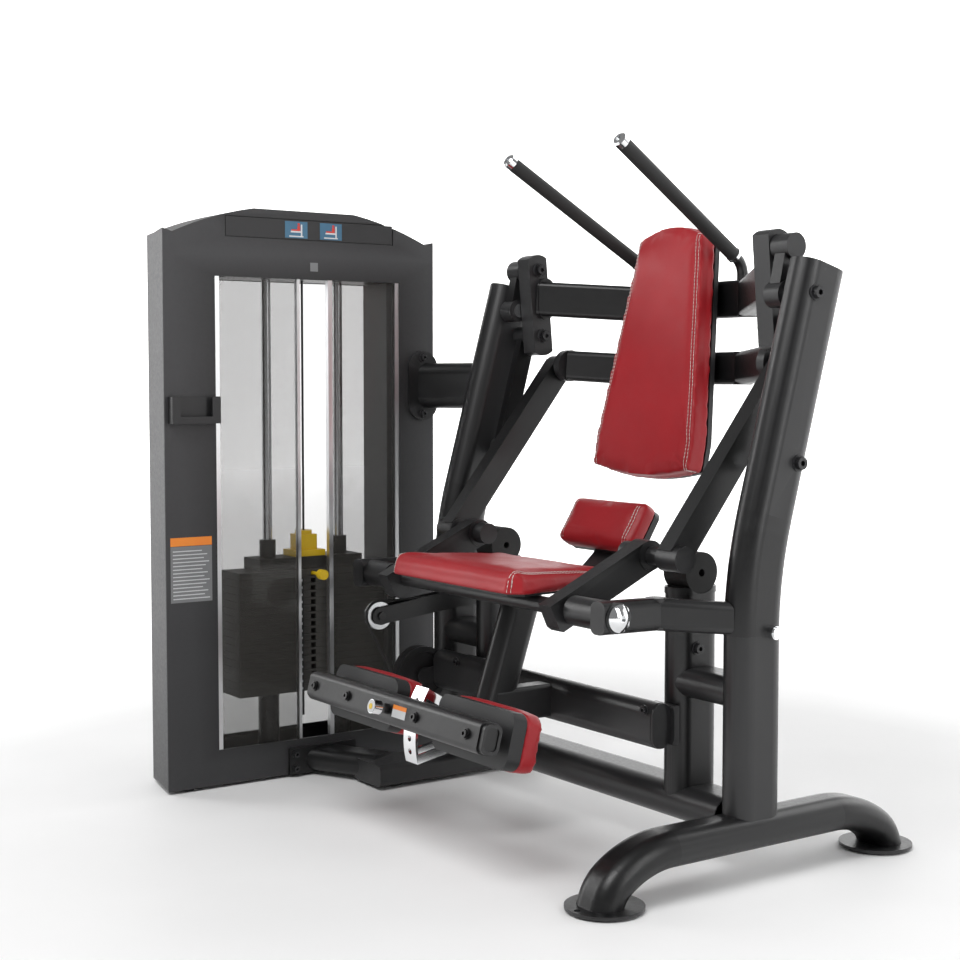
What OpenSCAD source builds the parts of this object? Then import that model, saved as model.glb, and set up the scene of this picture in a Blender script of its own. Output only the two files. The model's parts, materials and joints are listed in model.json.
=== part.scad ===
// Ab crunch machine with an enclosed weight stack
// +Z up, user faces -Y, weight tower on the -X side.
// The origin is under the middle of the machine, on the floor.

/* [Frame tubes] */
// Long side of the flat-oval frame tube
tube_a = 126; // [110:1:140]
// Short side of the flat-oval frame tube
tube_b = 76; // [66:1:84]
// Wall of the frame tubes
wall = 3; // [2:0.5:5]
// Distance of each upright from the seat's middle
side_x = 541; // [530:1:560]
// Front-to-back place of the uprights' lower half
upright_y = 98; // [90:1:106]
// Height of the uprights
upright_top = 1255; // [1230:1:1270]
// Backward lean of the uprights' upper half
lean = 15.5; // [13:0.5:17]
// Distance of each rear post from the middle
post_x = 355; // [340:1:370]
// Height of the rear posts
post_top = 568; // [550:1:575]

/* [Foot] */
// Diameter of the round foot plates
disc_d = 157; // [140:1:170]
// Front and rear foot plate places
foot_y = [-283, 477];
// Radius of the anchor holes
anchor_r = 6.5; // [5:0.5:8]

/* [Linkage] */
// Upright pivot of the upper links, Y and Z
p1 = [233, 1197];
// Carriage pivot of the upper links
q1 = [255, 1298];
// Upright pivot of the lower links
p2 = [194, 849];
// Carriage pivot of the lower links
q2 = [270, 1132];
// Pivot of the swing arms
s0 = [-208, 552];
// Joint of swing arms and diagonal links
j0 = [2, 650];
// Upper end of the diagonal links
k0 = [325, 1056];

/* [Pads] */
// Height of the back pad's face
pad_h = 572; // [500:1:590]
// Half width of the back pad near its bottom
pad_w0 = 178; // [150:1:185]
// Half width of the back pad at its top
pad_w1 = 116; // [100:1:130]
// Backward lean of the back pad
pad_tilt = 9.8; // [6:0.1:12]
// Height of the seat's front edge
seat_z = 624; // [618:1:632]
// Seat depth, front to back
seat_l = 298; // [270:1:310]

/* [Tower] */
// Window face of the tower
tower_x = -737; // [-745:1:-730]
// Tower depth
tower_d = 163; // [155:1:175]
// Near and far side of the tower
tower_y = [-622, 153];
// Height of the tower's body, under the cap
tower_h = 1332; // [1320:1:1345]
// Height of the cap's crown
crown_z = 1446; // [1430:1:1455]
// Number of weight plates
plate_n = 17; // [14:1:18]
// Plate pitch
plate_p = 18.8; // [18:0.1:19.5]

/* [Hidden] */
$fn = 64;
stack_x = tower_x - 85;
stack_y = -198;
stack_z = 212;
rod_dy = 105;
head_z = stack_z + plate_n * plate_p;
window_y = [-485, 46];
window_z = [96, 1275];
slot_y = [-249, -167];
back_in = 30;
bend_r = 900;
bend_z = 500;
foot_x1 = side_x + disc_d / 2;
foot_y1 = foot_y[1] + disc_d / 2;
shift = [-(tower_x - tower_d + foot_x1) / 2, -(tower_y[0] + foot_y1) / 2, 0];
rail_z = 294;
drum = [-484, -51, 281];
wheel_z = 1336;
wheel2_y = 58;
tip = [-484, -174, 440];
shin_p = [-184, 243];
beam = [-417, 313];
strip_r = 199;

// ---- shared shapes ----
module place() { translate(shift) children(); }
module both() { children(); mirror([1, 0, 0]) children(); }
module stadium(a, b) {
  if (a >= b) {
    square([a - b, b], center = true);
    for (s = [-1, 1]) translate([s * (a - b) / 2, 0]) circle(d = b);
  } else rotate(90) stadium(b, a);
}
module ring(a, b, t) { difference() { stadium(a, b); stadium(a - 2 * t, b - 2 * t); } }
module rbox(a, b, r) {
  square([a - 2 * r, b], center = true);
  square([a, b - 2 * r], center = true);
  for (i = [-1, 1], j = [-1, 1]) translate([i * (a / 2 - r), j * (b / 2 - r)]) circle(r = r);
}
// extrusions along each axis; the section is drawn in the other two axes, in order
module ext_x(x0, x1) { translate([x0, 0, 0]) rotate([90, 0, 90]) linear_extrude(x1 - x0) children(); }
module ext_y(y0, y1) { translate([0, y1, 0]) rotate([90, 0, 0]) linear_extrude(y1 - y0) children(); }
module cyl_x(x0, x1, c, r) { ext_x(x0, x1) translate(c) circle(r = r); }
// straight bar from p to q with a rounded box section, h upright and d across
module bar(p, q, h, d, r) {
  v = q - p; l = norm(v);
  translate(p) rotate([0, acos(v.z / l), atan2(v.y, v.x)]) linear_extrude(l) rbox(h, d, r);
}
module rod(p, q, r) {
  v = q - p; l = norm(v);
  translate(p) rotate([0, acos(v.z / l), atan2(v.y, v.x)]) cylinder(h = l, r = r);
}
// flat link in the Y-Z plane between two pivots
module web(x0, x1, a, b, h, ext = 0) {
  v = b - a; l = norm(v);
  ext_x(x0, x1) translate(a) rotate(atan2(v.y, v.x)) translate([-ext, -h / 2]) square([l + ext, h]);
}
module socket_bolt(r, h) {
  difference() {
    union() { cylinder(h = 3, r = r * 1.3); cylinder(h = h, r = r); }
    translate([0, 0, h - 0.6 * h]) cylinder(h = h, r = r * 0.5, $fn = 6);
  }
}
module bolt_x(x, y, z, s = 1, r = 11, h = 11) { translate([x, y, z]) rotate([0, 90 * s, 0]) socket_bolt(r, h); }
module bolt_y(x, y, z, r = 9, h = 9) { translate([x, y, z]) rotate([90, 0, 0]) socket_bolt(r, h); }

// ---- frame ----
module upright_path(a, b, low = 120, cap = 0) {
  // lower straight, bend and leaning straight, in the frame of the right upright
  translate([side_x, upright_y, 0]) {
    translate([0, 0, low]) linear_extrude(bend_z - low + 2) stadium(b, a);
    translate([0, bend_r, bend_z]) rotate([0, 0, 90]) rotate([90, 0, 0]) rotate(180)
      rotate_extrude(angle = -lean, $fn = 256) translate([bend_r, 0]) stadium(a - 0.1, b - 0.1);
    top_y = bend_r * (1 - cos(lean)); top_z = bend_z + bend_r * sin(lean);
    translate([0, top_y, top_z]) rotate([-lean, 0, 0]) translate([0, 0, -2])
      linear_extrude((upright_top - top_z) / cos(lean) + 2 - cap) stadium(b - 0.2, a - 0.2);
  }
}
module upright() {
  difference() {
    upright_path(tube_a, tube_b);
    upright_path(tube_a - 2 * wall, tube_b - 2 * wall, 110, 5);
    for (p = [p1, p2]) cyl_x(side_x - 60, side_x + 60, p, 12);
  }
}
module right_upright() place() color("#2b2c2e") difference() { upright(); foot_solid(); }
module left_upright() place() color("#2b2c2e") mirror([1, 0, 0]) difference() {
  union() { upright(); translate([side_x, upright_y, 62]) linear_extrude(60) ring(tube_b, tube_a, wall); }
}
module foot_leg(w, h) {
  // a long shallow bend, then a tighter one down to the plate
  r = 230; a = 35; r2 = 80; a2 = 70;
  yc = -r * sin(a); zc = -r * (1 - cos(a));
  yd = yc - r2 * (sin(a2) - sin(a)); zd = zc - r2 * (cos(a) - cos(a2));
  translate([0, 0, -r]) rotate([90, 0, 90]) rotate([0, 0, 90]) rotate_extrude(angle = a, $fn = 128)
    translate([r, 0]) stadium(h - 0.1, w - 0.1);
  translate([0, yc + r2 * sin(a), zc - r2 * cos(a)]) rotate([90, 0, 90]) rotate([0, 0, 90 + a - 1])
    rotate_extrude(angle = a2 - a + 1, $fn = 128) translate([r2, 0]) stadium(h - 0.2, w - 0.2);
  translate([0, yd, zd]) rotate([90 + a2, 0, 0]) translate([0, 0, -2]) linear_extrude(42) stadium(w - 0.3, h - 0.3);
}
module foot_arch(w, h) {
  y0 = -130; y1 = 324;
  translate([side_x, 0, 98]) {
    ext_y(y0 - 2, y1 + 2) stadium(w, h);
    translate([0, y0, 0]) foot_leg(w, h);
    translate([0, y1, 0]) mirror([0, 1, 0]) foot_leg(w, h);
  }
}
module foot_solid() {
  difference() { foot_arch(102, 72); translate([400, -500, -90]) cube([300, 1200, 99]); }
}
module right_foot() place() color("#2b2c2e") {
  foot_solid();
  for (i = [0, 1]) translate([side_x, foot_y[i], 4]) difference() {
    cylinder(h = 7, d = disc_d);
    translate([0, (2 * i - 1) * 67, -1]) cylinder(h = 9, r = anchor_r);
  }
}
module foot_rubbers() place() color("#151515") {
  for (i = [0, 1]) translate([side_x, foot_y[i], 0]) difference() {
    cylinder(h = 4, d = disc_d - 34);
  }
  for (y = [-110, 270]) translate([-side_x, y, 0]) cylinder(h = 8, d = 70);
  for (x = [tower_x - 30, tower_x - tower_d + 40], y = [tower_y[0] + 62, tower_y[1] - 62])
    translate([x, y, 0]) cylinder(h = 8, d = 36);
}
module left_foot_solid() { translate([-side_x, 0, 35]) ext_y(-172, 330) rbox(tube_a, 54, 14); }
module left_foot() place() color("#2b2c2e") {
  difference() {
    left_foot_solid();
    translate([-side_x, 0, 35]) ext_y(-166, 324) rbox(tube_a - 6, 48, 11);
  }
}
module base_cross_tube() place() color("#2b2c2e") difference() {
  translate([0, upright_y, 121]) ext_x(-side_x + tube_b / 2, side_x - tube_b / 2) ring(tube_a, 74, wall);
  foot_solid();
  left_foot_solid();
}
module link_tube_solid() {
  a = [tower_x, -190, 40]; b = [-side_x - 30, -105, 40];
  difference() {
    rotate_bar(a + (a - b) * 0.3, b, 108, 60);
    translate([tower_x - 400, -600, -10]) cube([400, 900, 200]);
  }
}
module rotate_bar(a, b, w, h) {
  v = b - a;
  translate(a) rotate([0, 0, atan2(v.y, v.x)]) ext_x(0, norm(v)) stadium(w, h);
}
module tower_link_tube() place() color("#2b2c2e") difference() {
  union() {
    link_tube_solid();
    translate([tower_x, -292, 8]) cube([10, 194, 68]);
  }
  left_foot_solid();
}
module rear_posts() place() color("#2b2c2e") both() {
  difference() {
    translate([post_x, upright_y, 121]) linear_extrude(post_top - 121) ring(70, 118, wall);
    translate([0, upright_y, 121]) ext_x(0, 600) stadium(tube_a, 74);
  }
  translate([post_x, upright_y, post_top]) cylinder_cap();
}
module cylinder_cap() {
  difference() {
    linear_extrude(14) stadium(74, 122);
    cyl_x(-60, 60, [0, 44], 44.2);
  }
}
module side_stubs() place() color("#2b2c2e") both() difference() {
  translate([0, upright_y, 380]) ext_x(post_x, side_x) ring(110, 62, wall);
  translate([post_x, upright_y, 100]) linear_extrude(500) stadium(70, 118);
  translate([side_x, upright_y, 100]) linear_extrude(600) stadium(tube_b, tube_a);
}
module lower_rail() place() color("#2b2c2e") {
  translate([0, 0, rail_z]) ext_x(-460, 372) ring(52, 98, wall);
}
module rail_ends() place() color("#1f2022") {
  translate([0, 0, rail_z]) ext_x(372, 378) stadium(50, 96);
  ext_x(-464, -460) union() {
    translate([0, rail_z]) stadium(50, 96);
    translate([drum.y, drum.z]) circle(r = 20);
    translate([drum.y, drum.z - 20]) square([-drum.y, 40]);
  }
  cyl_x(-503, -464, [drum.y, drum.z], 8);
  cyl_x(-507, -503, [drum.y, drum.z], 13);
}
module rail_brackets() place() color("#2b2c2e") both() difference() {
  translate([post_x, 29, rail_z]) ext_x(-34, 34) rbox(22, 84, 6);
  translate([post_x, upright_y, 100]) linear_extrude(500) stadium(70, 118);
  translate([0, 0, rail_z]) ext_x(0, 600) stadium(52, 98);
}
module arm_solid() {
  zf = s0.y; zr = 536; x1 = 464; yk = -92;
  translate([0, 0, 0]) {
    bar([side_x, 60, zr], [x1, yk, zf - 3], 66, 44, 16);
    bar([x1, yk + 8, zf - 3], [x1, s0.x - 34, zf], 66, 44, 16);
    translate([x1, yk, zf - 33]) cylinder(h = 63, r = 21);
    cyl_x(350, x1 + 24, s0, 31);
  }
}
module pivot_arm() difference() {
  arm_solid();
  translate([side_x, upright_y, 100]) linear_extrude(600) stadium(tube_b, tube_a);
  cyl_x(340, 520, s0, 15.05);
}
module right_pivot_arm() place() color("#2b2c2e") pivot_arm();
module left_pivot_arm() place() color("#2b2c2e") mirror([1, 0, 0]) pivot_arm();
module pivot_caps() place() color("#d8dadc") both() {
  translate([488, s0.x, s0.y]) rotate([0, 90, 0]) {
    difference() {
      intersection() { cylinder(h = 16, r = 28); translate([0, 0, -32]) sphere(r = 46); }
      translate([0, 0, 8]) cylinder(h = 10, r = 7);
    }
  }
  translate([side_x + tube_b / 2, 118, 508]) rotate([0, 90, 0]) {
    cylinder(h = 14, r = 14);
    translate([0, 0, 14]) cylinder(h = 3, r = 12);
  }
}
module arm_stops() place() color("#3a3b3d") both()
  difference() {
    cyl_x(post_x - 36, post_x + 36, [upright_y, post_top + 44], 44);
    cyl_x(post_x - 40, post_x + 40, [upright_y, post_top + 44], 8);
  }
tie_z = 1005;
tie_y = upright_y + bend_r * (1 - cos(lean)) + (tie_z - bend_z - bend_r * sin(lean)) * tan(lean);
module tower_tie_tube() place() color("#2b2c2e") {
  difference() {
    intersection() {
      bar([tower_x - 20, 122, tie_z], [-side_x + 12, tie_y, tie_z], 120, 62, 30);
      translate([tower_x, -500, 0]) cube([400, 1500, 1500]);
    }
    mirror([1, 0, 0]) upright_path(tube_a, tube_b);
  }
  translate([0, 116, 1005]) ext_x(tower_x, tower_x + 9) stadium(90, 184);
}
module frame_bolts() place() color("#1c1c1d") {
  for (z = [930, 1080]) bolt_x(tower_x + 9, 116, z, 1, 9, 9);
  for (s = [-1, 1]) bolt_x(s * (side_x + tube_b / 2), p1.x, p1.y, s, 13, 13);
  for (s = [-1, 1]) bolt_x(s * (side_x + tube_b / 2), p2.x - 6, p2.y, s, 13, 13);
  for (s = [-1, 1]) bolt_x(s * (post_x + 35), 88, 452, s);
  for (z = [22, 60]) bolt_x(tower_x + 10, -275, z, 1, 8, 8);
  for (s = [-1, 1]) bolt_y(s * post_x, 18 - 44, rail_z + 34, 8, 8);
}
module fixed_pivot_pins() place() color("#8d9093") both() {
  for (p = [p1, p2]) {
    cyl_x(453, side_x + tube_b / 2 - 0.5, p, 12);
    cyl_x(451, 454.5, p, 17);
  }
}

// ---- linkage ----
module upper_links() place() color("#2b2c2e") both() difference() {
  union() {
    cyl_x(455, 498, p1, 28);
    cyl_x(452, 501, q1, 28);
    web(462, 491, p1, q1, 40);
  }
  cyl_x(440, 510, p1, 12.05);
  cyl_x(440, 496, q1, 12.05);
}
module lower_links() place() color("#2b2c2e") both() difference() {
  union() {
    cyl_x(455, 492, p2, 25);
    cyl_x(455, 497, q2, 25);
    web(460, 484, p2, q2, 42);
  }
  cyl_x(440, 510, p2, 12.05);
  cyl_x(440, 494, q2, 17);
}
module carriage_plate() {
  v = q1 - q2; a = atan2(v.y, v.x);
  difference() {
    ext_x(401, 449) translate(q2) rotate(a) translate([78, 0]) intersection() {
      square([256, 56], center = true);
      union() {
        square([236, 56], center = true);
        for (s = [-1, 1]) translate([s * 84, 0]) circle(r = 44);
      }
    }
    for (p = [q1, q2]) cyl_x(395, 455, p, 10);
  }
}
module carriage_plates() place() color("#2f3032") both() carriage_plate();
module carriage_pins() place() color("#8d9093") both() {
  cyl_x(401.5, 449, q1, 10);
  cyl_x(449, 494, q1, 12);
  cyl_x(401.5, 490, q2, 10);
}
module carriage_bolts() place() color("#1c1c1d") both() {
  for (p = [q1, q2]) {
    cyl_x(393, 401, p, 17);
    bolt_x(393, p.x, p.y, -1, 12, 9);
  }
}
bar1_end = [401, 268, 1226];
bar1_mid = [182, 424, 1207];
module upper_cross_bar() place() color("#2b2c2e") difference() {
  union() {
    both() {
      bar(bar1_end + [6, -4, 0], bar1_mid, 86, 46, 12);
      translate(bar1_mid - [0, 0, 43]) cylinder(h = 86, r = 23);
      ext_x(389, 401) translate([bar1_end.y + 4, bar1_end.z]) stadium(50, 104);
    }
    bar([-bar1_mid.x, bar1_mid.y, bar1_mid.z], bar1_mid, 86, 46, 12);
  }
  both() carriage_plate();
  both() for (p = [q1, q2]) cyl_x(370, 401, p, 22);
  both() translate([401, 0, 0]) cube([100, 600, 1500]);
}
bar2_end = [356, k0.x, k0.y];
bar2_mid = [200, 394, 1046];
module lower_cross_bar() place() color("#2b2c2e") {
  both() {
    bar(bar2_end, bar2_mid, 76, 44, 14);
    translate(bar2_mid - [0, 0, 38]) cylinder(h = 76, r = 22);
    cyl_x(354, 376, k0, 40);
    cyl_x(376, 422, k0, 8);
  }
  bar([-bar2_mid.x, bar2_mid.y, bar2_mid.z], bar2_mid, 76, 44, 14);
}
// handles: upright stub, bend, then the long grip
grip_end = [204.5, 19, 1535];
stub = [166, 422, 1250];
elev = 31.5;
module handle_frame() {
  h = grip_end - stub;
  translate(stub) rotate([0, 0, atan2(h.y, h.x)]) children();
}
hr = 46;
grip_run = norm([grip_end.x - stub.x, grip_end.y - stub.y]);
rise = grip_end.z - stub.z;
straight = (grip_run - hr * (1 - cos(90 - elev))) / cos(elev);
stub_h = rise - hr * sin(90 - elev) - straight * sin(elev);
module handle_tubes() place() color("#242527") both() handle_frame() {
  cylinder(h = stub_h, r = 13);
  translate([hr, 0, stub_h]) rotate([90, 0, 0]) rotate([0, 0, 90 + elev]) rotate_extrude(angle = 90 - elev)
    translate([hr, 0]) circle(r = 12.9);
  translate([hr * (1 - cos(90 - elev)), 0, stub_h + hr * sin(90 - elev)]) rotate([0, 90 - elev, 0])
    cylinder(h = straight - 12, r = 13);
}
module on_grip() place() both() handle_frame()
  translate([hr * (1 - cos(90 - elev)), 0, stub_h + hr * sin(90 - elev)]) rotate([0, 90 - elev, 0]) children();
module handle_grips() color("#161616") on_grip() translate([0, 0, 14]) difference() {
  cylinder(h = straight - 30, r = 16.5);
  translate([0, 0, -1]) cylinder(h = straight, r = 13);
}
module handle_ends() color("#dcdee0") {
  on_grip() translate([0, 0, straight - 16]) difference() {
    union() { cylinder(h = 14, r = 17); translate([0, 0, 14]) cylinder(h = 4, r1 = 17, r2 = 13); }
    translate([0, 0, -1]) cylinder(h = 5, r = 13);
    translate([0, 0, 10]) cylinder(h = 10, r = 7);
  }
  on_grip() translate([0, 0, 6]) difference() { cylinder(h = 8, r = 18); translate([0, 0, -1]) cylinder(h = 10, r = 13); }
}

// ---- back pad ----
module pad_frame() place() translate([0, 251, 824]) rotate([-pad_tilt, 0, 0]) children();
function arc(c, r, a0, a1, n) = [for (i = [0 : n]) c + r * [cos(a0 + (a1 - a0) * i / n), sin(a0 + (a1 - a0) * i / n)]];
module pad_outline(d = 0) {
  // flared outline, a shallow arc along the bottom and a rounded crown
  w0 = pad_w0 - d; w1 = pad_w1 - d; bulge = 22;
  rb = (w0 * w0 + bulge * bulge) / (2 * bulge); rt = (w1 * w1 + 32 * 32) / 64;
  ab = asin(w0 / rb); at = asin(w1 / rt);
  polygon(concat([[w0 + 3, 60]],
    arc([0, pad_h - 32 - d + 32 - rt], rt, 90 - at, 90 + at, 16), [[-w0 - 3, 60]],
    arc([0, rb - bulge - 10 + d], rb, 270 - ab, 270 + ab, 16)));
}
module back_pad() color("#a3141d") pad_frame() ext_y(0, 44.5) pad_outline();
module back_pad_shell() color("#1b1b1c") pad_frame() {
  ext_y(45, 58) pad_outline(2);
  ext_y(58, 70) pad_outline(16);
}
module pad_mount() place() color("#2b2c2e") difference() {
  translate([0, 251, 824]) rotate([-pad_tilt, 0, 0]) translate([-62, 70.3, 150]) cube([124, 24, 330]);
  both() { bar([-1, bar1_mid.y, bar1_mid.z], bar1_mid, 86, 46, 12); bar([-1, bar2_mid.y, bar2_mid.z], bar2_mid, 76, 44, 14); }
}

// ---- swing arms and diagonal links ----
module swing_shaft() place() color("#2a2b2d") {
  cyl_x(-486, 486, s0, 15);
  difference() { cyl_x(-292, 292, s0, 17); cyl_x(-300, 300, s0, 15); }
}
module swing_arms() place() color("#2b2c2e") both() difference() {
  union() {
    web(296, 338, s0, j0, 64, 44);
    cyl_x(294, 340, j0, 32);
  }
  cyl_x(280, 360, s0, 15);
  cyl_x(280, 360, j0, 12);
  // slanted lower end
  ext_x(280, 360) translate(s0) rotate(atan2(j0.y - s0.y, j0.x - s0.x)) translate([-44, 0]) rotate(30)
    translate([-60, -60]) square([50, 120]);
}
module swing_joint_shafts() place() color("#2f3032") both() {
  cyl_x(262, 440, j0, 12);
  difference() { cyl_x(258, 291, j0, 25); cyl_x(262, 300, j0, 12); }
  difference() { cyl_x(341, 380, j0, 19); cyl_x(330, 390, j0, 12); }
}
module diagonal_links() place() color("#2b2c2e") both() difference() {
  union() {
    cyl_x(383, 446, j0, 28);
    cyl_x(381, 430, k0, 26);
    web(385, 427, j0, k0, 60);
  }
  cyl_x(370, 441, j0, 12.05);
  cyl_x(370, 426, k0, 16);
}

// ---- seat ----
post_a = [0, -79, 556];
post_b = [0, -199, 200];
shin_tilt = 14;
module seat_post_solid() {
  v = post_a - post_b; t = atan2(v.y, v.z);
  translate(post_b) rotate([-t, 0, 0]) linear_extrude(norm(v) + 8) stadium(52, 92);
}
module seat_post() place() color("#2b2c2e") difference() {
  union() {
    intersection() { seat_post_solid(); translate([-200, -400, 214]) cube([400, 600, 342]); }
    difference() {
      translate([0, 0, rail_z]) ext_y(-172, -20) rbox(54, 76, 10);
      translate([0, 0, rail_z]) ext_x(-100, 100) stadium(52, 98);
    }
    translate([-70, -150, 556]) cube([140, 150, 14]);
  }
  cyl_x(-40, 40, shin_p, 9.05);
}
seat_f = 248;
seat_b = 224;
module seat_outline(d) {
  f = seat_f - d; b = seat_b - d; r = 34;
  translate([0, -290]) polygon(concat(
    [[-f, d + 26], [-f + 26, d], [f - 26, d], [f, d + 26]],
    arc([b - r, seat_l - d - r], r, 0, 90, 6), arc([-b + r, seat_l - d - r], r, 90, 180, 6)));
}
module seat_pan() place() color("#1b1b1c") translate([0, 0, 570]) linear_extrude(4.7) seat_outline(14);
module seat_cushion() place() color("#a3141d") difference() {
  translate([0, 0, 575]) linear_extrude(seat_z - 575) seat_outline(0);
  translate([-400, -300, seat_z]) rotate([-3.4, 0, 0]) cube([800, 600, 60]);
  // bevels along the front and side edges
  translate([-400, -290, seat_z - 17]) rotate([45, 0, 0]) cube([800, 60, 60]);
  both() translate([seat_f, -290, seat_z - 15]) rotate([-3.4, 0, atan((seat_f - seat_b) / seat_l)])
    rotate([0, 45, 0]) translate([-60, -60, 0]) cube([100, 460, 60]);
}
module lumbar_frame() place() translate([0, 106, 652]) rotate([-32, 0, 0]) children();
module lumbar_pad() color("#a3141d") lumbar_frame() difference() {
  ext_y(0, 42) translate([0, 53]) rbox(266, 118, 22);
  both() translate([119, 0, -60]) rotate([0, 0, -45]) cube([60, 60, 300]);
  translate([-200, 0, 8]) rotate([-135, 0, 0]) cube([400, 60, 60]);
  translate([-200, 0, 98]) rotate([45, 0, 0]) cube([400, 60, 60]);
}
module lumbar_shell() color("#1b1b1c") lumbar_frame() ext_y(42.5, 58) translate([0, 53]) rbox(260, 112, 20);
module lumbar_bracket() place() color("#1f2022") ext_x(-42, 42)
  polygon([[0, 558], [101, 558], [158.6, 609.7], [210.5, 692.8], [202.9, 697.6], [151, 614.5], [97, 568], [0, 568]]);

// ---- shin pads ----
module shin_pivot() place() color("#8d9093") {
  cyl_x(-41, 41, shin_p, 9);
  for (s = [0, 1]) mirror([s, 0, 0]) cyl_x(37.5, 42, shin_p, 14);
}
hole_a = 17.3;
module shin_sector() place() color("#dcdee0") difference() {
  union() {
    // curved strip, a side plate to the seat post at each edge
    difference() {
      translate([-24, shin_p.x, shin_p.y]) rotate([90, 0, 90]) rotate([0, 0, 180 - 34])
        rotate_extrude(angle = 48, $fn = 128) translate([strip_r - 3, 0]) square([6, 48]);
      for (i = [-3 : 1]) translate([0, shin_p.x, shin_p.y]) rotate([-hole_a - i * 8, 0, 0])
        rotate([90, 0, 0]) translate([0, 0, 150]) cylinder(h = 80, r = 6.5);
    }
    for (s = [-1, 1], a = [-31, 11]) ext_x(s * 22 - 2, s * 22 + 2) translate(shin_p) rotate(180 + a)
      translate([0, -10]) square([strip_r, 20]);
  }
  seat_post_solid();
  cyl_x(-60, 60, shin_p, 20);
}
module shin_place() place() translate([0, beam.x, beam.y]) rotate([-shin_tilt, 0, 0]) children();
module shin_beam() color("#2f3032") {
  shin_place() {
    difference() {
      ext_x(-342, 342) rbox(50, 66, 14);
      ext_x(-339, 339) rbox(44, 60, 11);
      rotate([90, 0, 0]) cylinder(h = 90, r = 5.05, center = true);
    }
    for (s = [0, 1]) mirror([s, 0, 0]) difference() {
      ext_x(342, 354) rbox(44, 60, 13);
      ext_x(351, 360) rbox(30, 46, 9);
    }
    both() translate([219, 0, 0]) ext_y(25, 46) square([60, 40], center = true);
    difference() {
      ext_y(-37, -25) circle(r = 11);
      rotate([90, 0, 0]) cylinder(h = 90, r = 5.05, center = true);
    }
    for (x = [-318, -170, 110, 300]) bolt_y(x, -25, 0, 9, 8);
  }
  place() both() difference() {
    union() {
      web(29, 37, shin_p, beam, 40);
      cyl_x(29, 37, shin_p, 24);
    }
    translate([0, beam.x, beam.y]) rotate([-shin_tilt, 0, 0]) ext_x(0, 60) rbox(50, 66, 14);
    cyl_x(20, 40, shin_p, 9.05);
  }
}
module shin_shells() shin_place() color("#1b1b1c") both() ext_y(46, 79) translate([219, 0]) rbox(270, 118, 26);
module shin_pads() shin_place() color("#a3141d") both() ext_y(79.4, 121) translate([219, 0]) rbox(274, 122, 30);
module shin_pull_pin() shin_place() color("#d9dbdd") {
  ext_y(-52, 38) circle(r = 5);
  ext_y(-66, -46) circle(r = 15);
}

// ---- cable drive ----
module cable_bracket() place() color("#2b2c2e") {
  y1 = 122; z0 = 446; z1 = 492;
  difference() {
    for (x = [tip.x - 18, tip.x + 13]) ext_x(x, x + 5) union() {
      translate([tip.y, tip.z]) circle(r = 22);
      polygon([[tip.y - 10, tip.z + 19.5], [60, z1], [y1, z1], [y1, z0], [60, z0], [tip.y + 10, tip.z - 19.5]]);
    }
    cyl_x(tip.x - 40, tip.x + 40, [tip.y, tip.z], 6);
  }
  ext_x(tip.x - 13, tip.x + 13) translate([44, 462]) square([24, 26]);
  cyl_x(tip.x - 19, tip.x + 19, [tip.y, tip.z], 6);
  cyl_x(tip.x + 18, tip.x + 23, [tip.y, tip.z], 10);
}
module cable_wheel() place() color("#cfd2d4") difference() {
  translate([tip.x - 10, tip.y, tip.z]) rotate([0, 90, 0]) rotate_extrude()
    polygon([[6.05, 0], [34, 0], [34, 4], [30, 10], [34, 16], [34, 20], [6.05, 20]]);
}
module cable_drum() place() color("#161617") translate([drum.x, drum.y, drum.z]) rotate([0, 90, 0])
  translate([0, 0, -16]) rotate_extrude() polygon([[8.05, 2], [14, 2], [14, 6], [56, 6], [58, 0], [72, 0],
    [72, 5], [65, 9], [65, 23], [72, 27], [72, 32], [58, 32], [56, 26], [14, 26], [14, 30], [8.05, 30]]);

// belt run from the drum, round the front wheel and back into the upright
cable_n = [-0.8842, -0.4670];
cable_a = 207.84;
module drive_cable() place() color("#0e0e0f") {
  a = [drum.y, drum.z] + 68.5 * cable_n; b = [tip.y, tip.z] + 34 * cable_n;
  rod([tip.x, a.x, a.y], [tip.x, b.x, b.y], 3);
  rod([tip.x, tip.y, tip.z + 34], [tip.x, 44, tip.z + 34], 3);
  translate(tip) rotate([90, 0, 90]) rotate([0, 0, 90]) rotate_extrude(angle = cable_a - 90)
    translate([34, 0]) circle(r = 2.95);
  translate([tip.x, drum.y, drum.z]) rotate([90, 0, 90]) rotate([0, 0, cable_a]) rotate_extrude(angle = 80)
    translate([68.5, 0]) circle(r = 2.95);
}
module lift_cable() place() color("#0e0e0f") {
  y1 = stack_y + 41.5; y2 = wheel2_y; z = wheel_z; r = 41.5;
  rod([stack_x, stack_y, head_z + 1], [stack_x, stack_y, z], 3);
  rod([stack_x, y1, z + r], [stack_x, y2, z + r], 3);
  rod([stack_x, y2 + r, z], [stack_x, y2 + r, 1000], 3);
  translate([stack_x, y1, z]) rotate([90, 0, 90]) rotate([0, 0, 90]) rotate_extrude(angle = 90)
    translate([r, 0]) circle(r = 2.95);
  translate([stack_x, y2, z]) rotate([90, 0, 90]) rotate_extrude(angle = 90) translate([r, 0]) circle(r = 2.95);
}

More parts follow.
